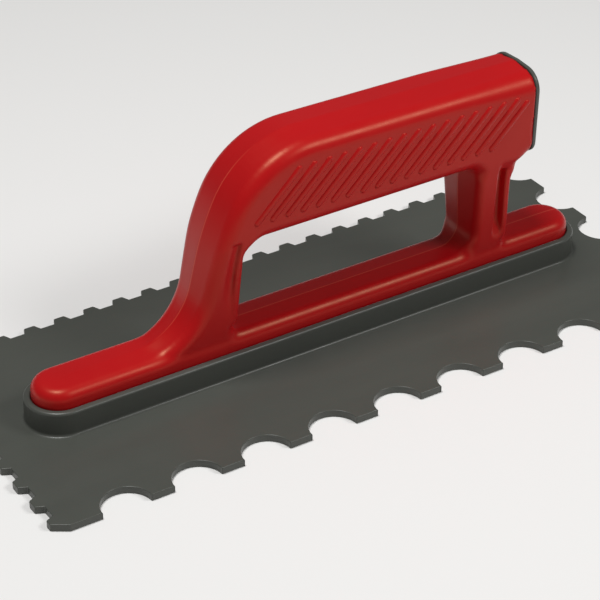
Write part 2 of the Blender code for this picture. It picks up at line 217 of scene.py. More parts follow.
class ScrewSettings(bpy.types.PropertyGroup):
    shank_radius: length("Shank radius", "Radius of the screw's core", 1.55)
    thread_radius: length("Thread radius", "Outer radius of the thread", 2.05)
    thread_pitch: length("Thread pitch", "Rise of the thread in one turn", 1.4)
    point: length("Point", "Length of the pointed tip", 3.0)
    hole_radius: length("Hole radius", "Radius of the screw holes in the plate", 2.45)
    recess: length("Recess", "Width across the cross recess", 4.0)
    recess_depth: length("Recess depth", "Depth of the cross recess", 1.5)
    zinc: colour("Zinc", "Colour of the zinc plating", "C9C9C4")


class StageSettings(bpy.types.PropertyGroup):
    aim_x: length("Aim X", "Point that the camera looks at", -5.832)
    aim_z: length("Aim Z", "Height of the point that the camera looks at", 16.652)
    distance: length("Distance", "From the camera to the point it looks at", 826.57)
    azimuth: angle("Azimuth", "Turn of the view away from the plate's long edge", 32.986)
    elevation: angle("Elevation", "How far the camera looks down", 32.785)
    roll: angle("Roll", "Tilt of the camera about its own axis", 0.482)
    focal: FloatProperty(name="Focal length", description="Lens, in millimetres", default=137.22)
    floor_size: length("Floor", "Side of the floor", 6000.0)
    floor: colour("Floor colour", "Colour of the floor", "EEEDEB")
    sky: FloatProperty(name="Sky", description="Strength of the even light all round", default=0.13)
    key: FloatProperty(name="Key", description="Power of the light on the right, in watts", default=4.8)
    overhead: FloatProperty(name="Overhead", description="Power of the light above, in watts", default=10.4)


# ---------------------------------------------------------------- shared geometry


def rounded_outline(corners, steps=16):
    """The outline through corners (x, z, radius), listed anticlockwise, each corner an arc."""
    count = len(corners)
    outline = []
    for i, (x, z, radius) in enumerate(corners):
        corner = Vector((x, z))
        before = (corner - Vector(corners[i - 1][:2])).normalized()
        after = (Vector(corners[(i + 1) % count][:2]) - corner).normalized()
        if radius == 0:
            outline.append(corner)
            continue
        side = math.copysign(1, before.cross(after))
        half_turn = before.angle(after) / 2
        first = corner - before * (radius * math.tan(half_turn))
        centre = first + Vector((-before.y, before.x)) * (radius * side)
        for step in range(steps + 1):
            swing = Matrix.Rotation(2 * half_turn * side * step / steps, 2)
            outline.append(centre + swing @ (first - centre))
    return outline


def quarter_turn(steps):
    """Points of a unit fillet from (0, 1) round to (1, 0), as distances from its corner's two sides."""
    turns = [math.pi / 2 * step / steps for step in range(steps + 1)]
    return [(1 - math.cos(turn), 1 - math.sin(turn)) for turn in turns]


def smoothstep(low, high, value):
    """0 up to low and 1 from high on, with a smooth rise between."""
    share = np.clip((value - low) / (high - low), 0, 1)
    return share * share * (3 - 2 * share)


def band(value, low, high, soft):
    """1 between low and high and 0 beyond, with soft ends."""
    return smoothstep(low - soft, low + soft, value) - smoothstep(high - soft, high + soft, value)


def rounded_join(a, b, radius):
    """Distance to the common part of two solids, with their shared edge rounded."""
    return np.minimum(np.maximum(a, b), 0) + np.hypot(np.maximum(a, 0), np.maximum(b, 0)) - radius


def soft_union(a, b, reach):
    """Distance to either of two solids, with the corner between them filled."""
    blend = np.maximum(reach - np.abs(a - b), 0) / reach
    return np.minimum(a, b) - blend * blend * reach / 4


def outline_distance(outline, x, z):
    """Signed distance from points to a closed outline, negative inside it."""
    nearest = np.full(x.shape, np.inf)
    inside = np.zeros(x.shape, bool)
    for i, end in enumerate(outline):
        start = outline[i - 1]
        run_x, run_z = end.x - start.x, end.y - start.y
        off_x, off_z = x - start.x, z - start.y
        share = (off_x * run_x + off_z * run_z) / max(run_x**2 + run_z**2, 1e-18)
        share = np.clip(share, 0, 1)
        nearest = np.minimum(nearest, np.hypot(off_x - share * run_x, off_z - share * run_z))
        crosses = (start.y > z) != (end.y > z)
        inside ^= crosses & (off_x < off_z * run_x / (run_z if run_z else 1e-18))
    return np.where(inside, -nearest, nearest)


def surface_net(field, axes):
    """Points and quads of the zero level of a field sampled on a grid, one point per crossed cell."""
    inside = field < 0
    cells = tuple(size - 1 for size in field.shape)
    shifts = [(i, j, k) for i in (0, 1) for j in (0, 1) for k in (0, 1)]
    count = np.zeros(cells, np.int8)
    for shift in shifts:
        count += inside[tuple(slice(s, s + n) for s, n in zip(shift, cells))]
    where = np.argwhere((count > 0) & (count < len(shifts)))
    number = np.full(cells, -1, np.int64)
    number[tuple(where.T)] = np.arange(len(where))

    total = np.zeros((len(where), 3))
    crossings = np.zeros(len(where))
    for low in shifts:
        for axis in range(3):
            if low[axis]:
                continue
            high = tuple(s + (axis == a) for a, s in enumerate(low))
            first, second = tuple((where + low).T), tuple((where + high).T)
            f0, f1 = field[first], field[second]
            cut = (f0 < 0) != (f1 < 0)
            share = np.where(cut, f0 / np.where(cut, f0 - f1, 1), 0)
            for a in range(3):
                start, end = axes[a][first[a]], axes[a][second[a]]
                total[:, a] += np.where(cut, start + share * (end - start), 0)
            crossings += cut
    points = total / crossings[:, None]

    quads = []
    for axis in range(3):
        lower = np.moveaxis(inside, axis, 0)[:-1]
        upper = np.moveaxis(inside, axis, 0)[1:]
        found = np.argwhere(lower != upper)
        found = np.insert(found[:, 1:], axis, found[:, 0], axis=1)
        leaves = inside[tuple(found.T)]
        b, c = np.eye(3, dtype=int)[(axis + 1) % 3], np.eye(3, dtype=int)[(axis + 2) % 3]
        ring = [number[tuple((found - offset).T)] for offset in (b + c, c, 0 * b, b)]
        ring = np.stack(ring, axis=1)
        quads.append(np.where(leaves[:, None], ring, ring[:, ::-1]))
    return points, np.concatenate(quads)


def object_from_arrays(name, points, faces):
    mesh = bpy.data.meshes.new(name)
    mesh.from_pydata(points.tolist(), [], faces.tolist())
    return linked(name, mesh)


def linked(name, mesh):
    made = bpy.data.objects.new(name, mesh)
    bpy.context.scene.collection.objects.link(made)
    return made


def object_from(name, shape):
    bmesh.ops.recalc_face_normals(shape, faces=shape.faces)
    mesh = bpy.data.meshes.new(name)
    shape.to_mesh(mesh)
    shape.free()
    return linked(name, mesh)


def skin(rings):
    """Faces between equal rings of points, with both ends filled."""
    shape = bmesh.new()
    rows = [[shape.verts.new(point) for point in ring] for ring in rings]
    for low, high in zip(rows, rows[1:]):
        for i in range(len(low)):
            j = (i + 1) % len(low)
            shape.faces.new((low[i], low[j], high[j], high[i]))
    shape.faces.new(rows[0][::-1])
    shape.faces.new(rows[-1])
    return shape


def apply_modifiers(piece, finish):
    """Turns an object and its modifiers into one plain mesh of one material."""
    graph = bpy.context.evaluated_depsgraph_get()
    finished = bpy.data.meshes.new_from_object(piece.evaluated_get(graph))
    piece.modifiers.clear()
    piece.data = finished
    finished.name = piece.name
    finished.materials.clear()
    finished.materials.append(finish)
    finished.polygons.foreach_set("material_index", [0] * len(finished.polygons))


def screw_row(name):
    """The screws' count, first place and step along X, as inputs of a row in a tree."""
    first, second = [(low.x + high.x) / 2 for low, high in SCREW_BOXES[:2]]
    return {
        f"{name} Count": len(SCREW_BOXES),
        f"{name} Start": (first, 0, 0),
        f"{name} Step": (second - first, 0, 0),
    }


def geometry_tree(name, **kinds):
    """A geometry node group with geometry in and out, a material input and the named inputs of each kind."""
    tree = bpy.data.node_groups.new(name, "GeometryNodeTree")
    tree.interface.new_socket("Geometry", in_out="INPUT", socket_type="NodeSocketGeometry")
    tree.interface.new_socket("Geometry", in_out="OUTPUT", socket_type="NodeSocketGeometry")
    for kind, labels in kinds.items():
        for label in labels:
            tree.interface.new_socket(label, in_out="INPUT", socket_type=f"NodeSocket{kind}")
    tree.interface.new_socket("Material", in_out="INPUT", socket_type="NodeSocketMaterial")
    return tree


def run_tree(piece, tree, values):
    """Adds the tree to the piece, with its named inputs set by their identifiers."""
    modifier = piece.modifiers.new(tree.name, "NODES")
    modifier.node_group = tree
    for item in tree.interface.items_tree:
        if item.item_type == "SOCKET" and item.in_out == "INPUT" and item.name in values:
            modifier[item.identifier] = values[item.name]


def instance_row(tree, source, name, piece, **turned):
    """Copies of a piece along a line, with the count, start and step that the tree's inputs name."""
    line = node(
        tree,
        "GeometryNodeMeshLine",
        {
            "Count": source[f"{name} Count"],
            "Start Location": source[f"{name} Start"],
            "Offset": source[f"{name} Step"],
        },
    )
    inputs = {"Points": line, "Instance": piece, **turned}
    return node(tree, "GeometryNodeInstanceOnPoints", inputs)


def finish_tree(tree, geometry):
    """Ends a tree with real geometry that carries the material input."""
    source = tree.nodes["Group Input"]
    real = node(tree, "GeometryNodeRealizeInstances", {"Geometry": geometry})
    painted = node(
        tree, "GeometryNodeSetMaterial", {"Geometry": real, "Material": source.outputs["Material"]}
    )
    node(tree, "NodeGroupOutput", {"Geometry": painted})


# ---------------------------------------------------------------- materials


def new_finish(name):
    """A material, its tree, its shader and the place on the object, in metres."""
    made = bpy.data.materials.new(name)
    made.use_nodes = True
    tree = made.node_tree
    return made, tree, tree.nodes["Principled BSDF"], node(tree, "ShaderNodeTexCoord").outputs["Object"]


def patchy_roughness(tree, shader, patches, low, high):
    """Lets a noise's patches swing the roughness from low to high."""
    roughness = node(
        tree, "ShaderNodeMapRange", {0: patches.outputs["Fac"], 1: 0.3, 2: 0.7, 3: low, 4: high}
    )
    feed(tree, shader, {"Roughness": roughness})


def fine_relief(tree, shader, noise, strength, height):
    """Lets a noise stand out of the surface by a height in metres."""
    inputs = {"Strength": strength, "Distance": height, "Height": noise.outputs["Fac"]}
    feed(tree, shader, {"Normal": node(tree, "ShaderNodeBump", inputs)})


def grey_polypropylene(name, base, streak):
    """Injection-moulded grey polypropylene with a fine matt tool finish.

    It gives a satin grey with a very fine grain, faint flow streaks along the plate and a soft, broad
    highlight that sharpens only at grazing angles.
    """
    made, tree, shader, place = new_finish(name)
    # Flow streaks: about 60 mm long along X and 12 mm wide.
    along = node(tree, "ShaderNodeMapping", {"Vector": place, "Scale": (16.0, 80.0, 80.0)})
    flow = node(tree, "ShaderNodeTexNoise", {"Vector": along, "Scale": 1.0, "Detail": 4.0})
    shade = node(
        tree,
        "ShaderNodeMix",
        {0: flow.outputs["Fac"], 6: (*base, 1.0), 7: (*streak, 1.0)},
        data_type="RGBA",
    )
    # Tool grain: 0.5 mm cells, coarser than the real 0.1 mm so that they show.
    grain = node(tree, "ShaderNodeTexNoise", {"Vector": place, "Scale": 2000.0, "Detail": 2.0})
    speckle = node(
        tree,
        "ShaderNodeMix",
        {0: 0.10, 6: shade.outputs[2], 7: grain.outputs["Color"]},
        data_type="RGBA",
        blend_type="SOFT_LIGHT",
    )
    feed(tree, shader, {"Base Color": speckle.outputs[2], "IOR": 1.49, "Specular IOR Level": 0.4})
    fine_relief(tree, shader, grain, 0.25, 0.04 * MM)
    # Handling marks: 8 mm patches where the grain has been rubbed smoother.
    rubbed = node(tree, "ShaderNodeTexNoise", {"Vector": place, "Scale": 120.0, "Detail": 5.0})
    patchy_roughness(tree, shader, rubbed, 0.28, 0.38)
    return made


def red_polypropylene(name, base, deep):
    """Injection-moulded red polypropylene from a polished tool.

    It gives a saturated red with a semi-gloss skin: soft-edged highlights, a slight orange peel,
    faint darker flow marks where the melt turned round the window, and a pale line along the parting line
    that is a painted highlight.
    """
    made, tree, shader, place = new_finish(name)
    # Flow marks: drifts about 35 mm across.
    drift = node(
        tree, "ShaderNodeTexNoise", {"Vector": place, "Scale": 28.0, "Detail": 3.0, "Distortion": 0.6}
    )
    shade = node(
        tree,
        "ShaderNodeMix",
        {0: drift.outputs["Fac"], 6: (*base, 1.0), 7: (*deep, 1.0)},
        data_type="RGBA",
    )
    # Parting line: where the mould halves meet, a pale line 0.5 mm wide along the middle, a painted
    # highlight that stands in for light caught on the crest.
    # It shows round the bend and in the window, and fades on the front of the foot and on top of the grip.
    spot = node(tree, "ShaderNodeSeparateXYZ", {0: place}).outputs
    side = node(tree, "ShaderNodeMath", {0: spot["Y"]}, operation="ABSOLUTE")
    line = node(tree, "ShaderNodeMapRange", {0: side, 1: 0.00015, 2: 0.0003, 3: 0.35, 4: 0.0})
    front = node(tree, "ShaderNodeMapRange", {0: spot["X"], 1: -0.068, 2: -0.056})
    over = node(tree, "ShaderNodeMapRange", {0: spot["Z"], 1: 0.078, 2: 0.087, 3: 1.0, 4: 0.0})
    highlight_mask = node(tree, "ShaderNodeMath", {0: line, 1: front}, operation="MULTIPLY")
    highlight_mask = node(tree, "ShaderNodeMath", {0: highlight_mask, 1: over}, operation="MULTIPLY")
    # Painted highlight: pale orange mixed into the red along the parting line.
    parting_highlight = node(
        tree,
        "ShaderNodeMix",
        {0: highlight_mask, 6: shade.outputs[2], 7: (*linear_from_hex("E0654E"), 1.0)},
        data_type="RGBA",
    )
    feed(tree, shader, {"Base Color": parting_highlight.outputs[2], "IOR": 1.49, "Specular IOR Level": 0.36})
    # Orange peel: 2.5 mm ripples, a few micrometres high.
    peel = node(tree, "ShaderNodeTexNoise", {"Vector": place, "Scale": 400.0, "Detail": 2.0})
    fine_relief(tree, shader, peel, 0.2, 0.04 * MM)
    # Handling: 6 mm patches, a little duller.
    dull = node(tree, "ShaderNodeTexNoise", {"Vector": place, "Scale": 160.0, "Detail": 4.0})
    patchy_roughness(tree, shader, dull, 0.30, 0.38)
    # The red pigment near the skin warms the gloss.
    feed(tree, shader, {"Specular Tint": (*linear_from_hex("FFDDB0"), 1.0)})
    return made


def zinc_plated_steel(name, base):
    """Zinc-plated steel: a pale metal with small cloudy differences in its shine."""
    made, tree, shader, place = new_finish(name)
    # Clouding: patches 1 mm across.
    cloud = node(tree, "ShaderNodeTexNoise", {"Vector": place, "Scale": 1000.0, "Detail": 3.0})
    patchy_roughness(tree, shader, cloud, 0.28, 0.45)
    feed(tree, shader, {"Base Color": (*base, 1.0), "Metallic": 1.0})
    return made


def painted_board(name, base):
    """Matt white painted board: an even pale ground with a faint roller texture."""
    made, tree, shader, place = new_finish(name)
    # Roller texture: 3 mm dimples.
    dimples = node(tree, "ShaderNodeTexNoise", {"Vector": place, "Scale": 330.0, "Detail": 2.0})
    fine_relief(tree, shader, dimples, 0.1, 0.05 * MM)
    feed(tree, shader, {"Base Color": (*base, 1.0), "Roughness": 0.8})
    return made


# ---------------------------------------------------------------- plate


def rim_section(sizes):
    """The socket rim's section as (distance from the foot's centre line, height), anticlockwise."""
    outer = sizes.rim_half_width
    inner = outer - sizes.rim_wall
    floor, top = sizes.thickness, PLATE_HIGH.z
    sunk = sizes.thickness / 2
    fillet, lip = sizes.rim_fillet, sizes.rim_lip
    inner_lip = lip / 4
    section = [(inner, sunk), (outer + fillet, sunk)]
    section += [(outer + fillet * across, floor + fillet * up) for up, across in quarter_turn(6)]
    section += [(outer - lip * across, top - lip * up) for across, up in quarter_turn(6)]
    return [*section, (inner + inner_lip, top), (inner, top - inner_lip)]


PLATE_ROWS = ("Front", "End", "Back", "Left", "Screw")


def plate_tree():
    """Slab, rim swept along the foot, and the four rows of notches cut from them."""
    tree = geometry_tree(
        "notched plate",
        Int=[f"{row} Count" for row in PLATE_ROWS],
        Float=["Rim Length", "Rim Width", "Rim Reach", "Round Radius", "Cut Height"]
        + ["Hole Radius", "Hole Height", "Sink Radius", "Sink Height"],
        Vector=[f"{row} {word}" for row in PLATE_ROWS for word in ("Start", "Step")]
        + ["Slab Size", "Slab Middle", "Small Size", "Small Narrowing", "Sink Middle"]
        + ["Corner Size", "Corner Offset", "Corner Turn", "Corner Middle"],
    )
    source = node(tree, "NodeGroupInput").outputs
    slab = node(tree, "GeometryNodeMeshCube", {"Size": source["Slab Size"]})
    slab = node(tree, "GeometryNodeTransform", {"Geometry": slab, "Translation": source["Slab Middle"]})

    # The rim's path is a stadium: a rectangle with its short sides rounded right over.
    box = node(
        tree,
        "GeometryNodeCurvePrimitiveQuadrilateral",
        {"Width": source["Rim Length"], "Height": source["Rim Width"]},
    )
    path = node(
        tree,
        "GeometryNodeFilletCurve",
        {"Curve": box, "Radius": source["Rim Reach"], "Count": 40, "Limit Radius": True},
        mode="POLY",
    )
    profile = node(tree, "GeometryNodeMeshToCurve", {"Mesh": source["Geometry"]})
    rim = node(tree, "GeometryNodeCurveToMesh", {"Curve": path, "Profile Curve": profile})
    blank = node(
        tree, "GeometryNodeMeshBoolean", {"Mesh 2": [slab, rim]}, operation="UNION", solver="EXACT"
    )

    rounds = node(
        tree,
        "GeometryNodeMeshCylinder",
        {"Vertices": 72, "Radius": source["Round Radius"], "Depth": source["Cut Height"]},
    )
    # A small notch's cutter is a block, narrowed on its inner side.
    block = node(tree, "GeometryNodeMeshCube", {"Size": source["Small Size"]})
    spot = node(tree, "GeometryNodeInputPosition")
    spot_y = node(tree, "ShaderNodeSeparateXYZ", {0: spot}).outputs[1]
    inner = node(tree, "FunctionNodeCompare", {0: spot_y, 1: 0.0}, operation="GREATER_THAN")
    narrowed = node(
        tree, "ShaderNodeVectorMath", {0: spot, 1: source["Small Narrowing"]}, operation="MULTIPLY"
    )
    trapezoid = node(
        tree, "GeometryNodeSetPosition", {"Geometry": block, "Selection": inner, "Position": narrowed}
    )
    # Screw holes: a plain hole and a 45 degree countersink that opens well below the plate.
    hole = node(
        tree,
        "GeometryNodeMeshCylinder",
        {"Vertices": 48, "Radius": source["Hole Radius"], "Depth": source["Hole Height"]},
    )
    sink = node(
        tree,
        "GeometryNodeMeshCone",
        {
            "Vertices": 48,
            "Radius Top": source["Hole Radius"],
            "Radius Bottom": source["Sink Radius"],
            "Depth": source["Sink Height"],
        },
    )
    sink = node(tree, "GeometryNodeTransform", {"Geometry": sink, "Translation": source["Sink Middle"]})
    # The near left corner is cut straight across by a block along the cut.
    corner = node(tree, "GeometryNodeMeshCube", {"Size": source["Corner Size"]})
    corner = node(
        tree, "GeometryNodeTransform", {"Geometry": corner, "Translation": source["Corner Offset"]}
    )
    corner = node(
        tree,
        "GeometryNodeTransform",
        {
            "Geometry": corner,
            "Rotation": source["Corner Turn"],
            "Translation": source["Corner Middle"],
        },
    )

    rows = (
        ("Front", rounds, 0.0),
        ("End", rounds, 0.0),
        ("Back", trapezoid, math.pi),
        ("Left", trapezoid, -math.pi / 2),
        ("Screw", hole, 0.0),
        ("Screw", sink, 0.0),
    )
    cutters = [
        instance_row(tree, source, name, piece, Rotation=(0.0, 0.0, turn))
        for name, piece, turn in rows
    ]
    cut = blank
    for cutter in (*cutters, corner):
        real = node(tree, "GeometryNodeRealizeInstances", {"Geometry": cutter})
        cut = node(
            tree,
            "GeometryNodeMeshBoolean",
            {"Mesh 1": cut, "Mesh 2": real},
            operation="DIFFERENCE",
            solver="EXACT",
        )
    finish_tree(tree, cut)
    return tree


class TROWEL_OT_plate(bpy.types.Operator):
    """Builds the grey plate with its socket rim and its notched edges"""

    bl_idname = "trowel.plate"
    bl_label = "Notched plate"

    def execute(self, context):
        sizes = context.scene.trowel_plate
        size = PLATE_HIGH - PLATE_LOW
        span = size.x / 2 - sizes.rim_end_margin - sizes.rim_half_width
        inner = sizes.rim_half_width - sizes.rim_wall

        # The sweep lays the section's X outwards and its Y down.
        section = bmesh.new()
        outline = [(reach - inner, -height, 0) for reach, height in reversed(rim_section(sizes))]
        points = [section.verts.new(point) for point in outline]
        for first, second in zip(points, points[1:] + points[:1]):
            section.edges.new((first, second))
        mesh = bpy.data.meshes.new("plate_moulding")
        section.to_mesh(mesh)
        section.free()
        piece = linked("plate_moulding", mesh)

        # Round notches are centred on their edges, and small ones are counted from a first tip.
        room = size.x - 2 * (sizes.corner_tooth + sizes.round_radius)
        front_count = int(room / sizes.round_pitch) + 1
        end_count = 2 * int((size.y / 2 + sizes.round_radius) / sizes.round_pitch) + 1
        root_half = (sizes.small_pitch - sizes.tip_width) / 2 - sizes.flank_run
        # A cutter reaches this far outside the plate's edge.
        outside = sizes.tip_width / 2
        mouth_half = root_half + sizes.flank_run / sizes.small_depth * (sizes.small_depth + outside)
        back_start = sizes.back_first_tip - sizes.small_pitch / 2
        # The corner cut stands for the notch before the first tip of the short edge.
        left_start = sizes.left_first_tip + sizes.small_pitch / 2
        middle = sizes.thickness / 2
        cut_height = sizes.thickness * 3
        hole_radius = context.scene.trowel_screws.hole_radius
        sink_rise = (SCREW_BOXES[0][1].x - SCREW_BOXES[0][0].x) / 2 + SEAT_GAP - hole_radius
        corner_x, corner_y = sizes.corner_length, sizes.corner_width
        grey = grey_polypropylene("matt_moulded_polypropylene", sizes.grey, sizes.pale_grey)
        values = {
            "Slab Size": (size.x, size.y, sizes.thickness),
            "Slab Middle": (0, 0, middle),
            "Rim Length": 2 * (span + inner),
            "Rim Width": 2 * inner,
            "Rim Reach": inner,
            "Round Radius": sizes.round_radius,
            "Cut Height": cut_height,
            "Small Size": (2 * mouth_half, sizes.small_depth + outside, cut_height),
            "Small Narrowing": (root_half / mouth_half, 1, 1),
            "Corner Size": (4 * corner_x, 2 * corner_x, cut_height),
            "Corner Offset": (0, -corner_x, 0),
            "Corner Turn": (0, 0, -math.atan2(corner_y, corner_x)),
            "Corner Middle": ((corner_x - size.x) / 2, (corner_y - size.y) / 2, middle),
            "Hole Radius": hole_radius,
            "Hole Height": 2 * cut_height,
            "Sink Radius": hole_radius + 2 * sink_rise,
            "Sink Height": 2 * sink_rise,
            "Sink Middle": (0, 0, -sink_rise),
            "Front Count": front_count,
            "Front Start": ((1 - front_count) * sizes.round_pitch / 2, -size.y / 2, middle),
            "Front Step": (sizes.round_pitch, 0, 0),
            "End Count": end_count,
            "End Start": (size.x / 2, (1 - end_count) * sizes.round_pitch / 2, middle),
            "End Step": (0, sizes.round_pitch, 0),
            "Back Count": int((size.x + root_half - back_start) / sizes.small_pitch) + 1,
            "Back Start": (back_start - size.x / 2, size.y / 2, middle),
            "Back Step": (sizes.small_pitch, 0, 0),
            "Left Count": int((size.y + root_half - left_start) / sizes.small_pitch) + 1,
            "Left Start": (-size.x / 2, left_start - size.y / 2, middle),
            "Left Step": (0, sizes.small_pitch, 0),
            **screw_row("Screw"),
            "Material": grey,
        }
        run_tree(piece, plate_tree(), values)
        rounding = piece.modifiers.new("edge rounding", "BEVEL")
        rounding.width = sizes.edge_round
        rounding.segments = 2
        rounding.limit_method = "ANGLE"
        rounding.angle_limit = math.radians(40)
        rounding.use_clamp_overlap = False
        rounding.harden_normals = True
        apply_modifiers(piece, grey)
        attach(piece, "root")
        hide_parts("notched_plate")
        return {"FINISHED"}


# ---------------------------------------------------------------- handle


class HandleShape:
    """The handle as a signed distance: negative inside the plastic, zero on its skin."""

    # Radii of the loop's corners, seen from the side.
    FRONT_FILLET = 26 * MM
    LEAN_ROUND = 98 * MM
    OVERHANG_ROUND = 10 * MM
    END_ROUND = 3 * MM
    REAR_FILLET = 4.5 * MM
    WINDOW_LOW_FRONT, WINDOW_LOW_REAR = 4 * MM, 9 * MM
    WINDOW_HIGH_FRONT, WINDOW_HIGH_REAR = 5.5 * MM, 4 * MM
    BORE_CORNER = 4.5 * MM
    # The front column leans to this height over the window, and then at this slope into the bend.
    LEAN_TOP = 3.5 * MM
    BEND_SLOPE = math.tan(math.radians(64))
    # The grip runs on this far past its end before it is cut off flat.
    BEYOND = 12 * MM
    # The grip's sides widen over this height.
    DRAFT_HEIGHT = 22 * MM
    # The rear column draws in by this much on each side.
    NECK = 1.6 * MM
    # The loop and the foot melt together over this reach.
    BLEND = 0.8 * MM
    # The loop runs on as a slab hidden in the foot: this far under the window's floor, this much
    # shorter than the foot's middle and this far above its underside.
    SLAB_SUNK, SLAB_SHORT, SLAB_FLOOR = 0.3 * MM, 4 * MM, 6 * MM
    # The bore runs on this far past the cap's spigot.
    BORE_PAST = 2 * MM

    def __init__(self, scene):
        sizes, plate, cap = scene.trowel_handle, scene.trowel_plate, scene.trowel_cap
        self.sizes = sizes
        self.base = HANDLE_LOW.z
        self.foot_half = plate.rim_half_width - plate.rim_wall - SEAT_GAP
        self.half_span = HANDLE_HIGH.x - self.foot_half
        self.grip_half = HANDLE_HIGH.y
        self.end = CAP_HIGH.x - cap.flange - SEAT_GAP
        # The grip's top falls a little towards its end, where the frame's cap is highest.
        self.top = CAP_HIGH.z - sizes.crest + sizes.grip_fall
        self.under = self.top - sizes.grip_height
        self.shoulder = self.under - sizes.window_height
        self.left = HANDLE_LOW.x + sizes.window_front
        self.right = HANDLE_HIGH.x - sizes.window_rear
        self.back = self.right + sizes.rear_column
        self.bore_wall = cap.grip_wall
        self.bore_depth = self.end - CAP_LOW.x + self.BORE_PAST
        self.outline = rounded_outline(self.side_corners())
        self.window = rounded_outline(self.window_corners())

    def side_corners(self):
        """The outline from the side. It runs on past the grip's end, which is cut off flat."""
        sizes = self.sizes
        slab_z = self.shoulder - self.SLAB_SUNK
        slab_x = self.half_span - self.SLAB_SHORT
        floor = self.base + self.SLAB_FLOOR
        beyond = self.end + self.BEYOND
        slope = sizes.grip_fall / (self.end - self.left)
        front_x = self.left - sizes.front_column - sizes.front_lean * sizes.window_height / 2
        # The front column leans in two steps, so that its outline bows into the bend.
        lean_z = self.under + self.LEAN_TOP
        lean_x = front_x + sizes.front_lean * (lean_z - slab_z)
        bend_x = lean_x + (self.top - lean_z) / self.BEND_SLOPE
        overhang = self.end - self.back
        return [
            (-slab_x, floor, 0),
            (slab_x, floor, 0),
            (slab_x, slab_z, 0),
            (self.back - 0.4 * MM, slab_z, self.REAR_FILLET),
            (self.back, self.under - overhang, self.OVERHANG_ROUND),
            (self.end, self.under, self.END_ROUND),
            (beyond, self.under, 0),
            (beyond, self.top - slope * (beyond - self.left), 0),
            (bend_x, self.top, sizes.bend_radius),
            (lean_x, lean_z, self.LEAN_ROUND),
            (front_x, slab_z, self.FRONT_FILLET),
            (-slab_x, slab_z, 0),
        ]

    def window_corners(self):
        """The hand window from the side, anticlockwise from its lower front corner."""
        lean = self.sizes.window_taper
        return [
            (self.left - lean, self.shoulder, self.WINDOW_LOW_FRONT),
            (self.right + lean, self.shoulder, self.WINDOW_LOW_REAR),
            (self.right - lean, self.under, self.WINDOW_HIGH_REAR),
            (self.left + lean, self.under, self.WINDOW_HIGH_FRONT),
        ]

    def half_width(self, x, z):
        """Half the loop's width, with its neck and its grooves.

        The lengths in mm are offsets from the window, the rear face and the grip's underside.
        """
        sizes = self.sizes
        column = self.foot_half - SEAT_GAP
        under = self.grip_half - sizes.grip_draft
        width = column + (under - column) * np.clip((z - self.shoulder) / (self.under - self.shoulder), 0, 1)
        width = width + sizes.grip_draft * np.clip((z - self.under) / self.DRAFT_HEIGHT, 0, 1)
        # Neck: the rear column is narrower than the grip, below a shoulder under the grip's rear end.
        neck = smoothstep(self.back - 8 * MM, self.back - 6 * MM, x)
        neck = neck * smoothstep(self.shoulder + 4 * MM, self.under - 8 * MM, z)
        neck = neck * (1 - smoothstep(self.under - 5 * MM, self.under + 1 * MM, z))
        width = width - self.NECK * neck

        # Front groove: leans with the column, sharp towards the window and open towards the front.
        drop = (z - self.shoulder - 15 * MM) / (25 * MM)
        middle = self.left - 3.4 * MM + 2.6 * MM * np.maximum(drop, 0) ** 2
        across = x - middle
        hollow = smoothstep(-4.5 * MM, -0.1 * MM, across) * (1 - smoothstep(0.1 * MM, 0.8 * MM, across))
        fade = smoothstep(self.shoulder + 6 * MM, self.shoulder + 26 * MM, z)
        fade = fade * (1 - smoothstep(self.under + 1.2 * MM, self.under + 2.2 * MM, z))
        width = width - 0.6 * sizes.groove_depth * hollow * fade

        # Rear groove: straight, between the rounded inner edge and the crisp outer flange.
        hollow = band(x, self.back - 6.8 * MM, self.back - 3.0 * MM, 0.6 * MM)
        fade = smoothstep(self.shoulder + 3 * MM, self.shoulder + 12 * MM, z)
        fade = fade * (1 - smoothstep(self.under - 5.5 * MM, self.under - 3 * MM, z))
        return width - 1.4 * sizes.groove_depth * hollow * fade

    def edge_radius(self, x, z):
        """Rounding along the loop's side edges: wide on the grip, crisp beside the grooves.

        The lengths in mm are offsets from the same places.
        """
        sizes = self.sizes
        top = sizes.top_round + (sizes.end_round - sizes.top_round) * smoothstep(
            self.end - 40 * MM, self.end, x
        )
        radius = sizes.edge_round + (top - sizes.edge_round) * smoothstep(
            self.under + 10 * MM, self.under + 24 * MM, z
        )
        tall = band(z, self.shoulder + 6 * MM, self.under + 5 * MM, 3 * MM)
        above = np.maximum(z - self.under + 4 * MM, 0)
        inner = smoothstep(self.left - 7 * MM, self.left - 4 * MM, x - above)
        inner = inner * tall * (1 - smoothstep(self.left + 2 * MM, self.left + 10 * MM, x))
        short = band(z, self.shoulder + 3 * MM, self.under - 4 * MM, 2.5 * MM)
        outer = short * smoothstep(self.back - 6 * MM, self.back - 3 * MM, x)
        soft = short * band(x, self.right - 4 * MM, self.right + 8 * MM, 1 * MM)
        crisp = np.maximum(inner, outer)
        radius = radius + soft * (sizes.column_round - radius)
        return radius + crisp * (sizes.crisp_round - radius)

    def flat_distance(self, x, z):
        """Signed distance to the side outline less its window."""
        return np.maximum(outline_distance(self.outline, x, z), -outline_distance(self.window, x, z))

    def distance(self, x, y, z, flat):
        """Signed distance to the whole skin, from the flat distance at the same x and z."""
        sizes = self.sizes
        side = np.abs(y)
        width, radius = self.half_width(x, z), self.edge_radius(x, z)
        roof = np.clip(1 - side / (width - radius), 0, 1)
        loop = rounded_join(flat - sizes.crest * roof + radius, side - width + radius, radius)
        loop = np.maximum(loop, x - self.end)

        round_edge = sizes.foot_round
        reach = np.hypot(np.maximum(np.abs(x) - self.half_span, 0), y)
        ridge = 1 - np.minimum(reach / (self.foot_half - round_edge), 1) ** 2
        over = z - self.shoulder - sizes.foot_lift - (sizes.crest - sizes.foot_lift) * ridge
        foot = rounded_join(reach - self.foot_half + round_edge, over + round_edge, round_edge)
        solid = soft_union(loop, foot, self.BLEND)
        solid = np.maximum(solid, self.base - z)

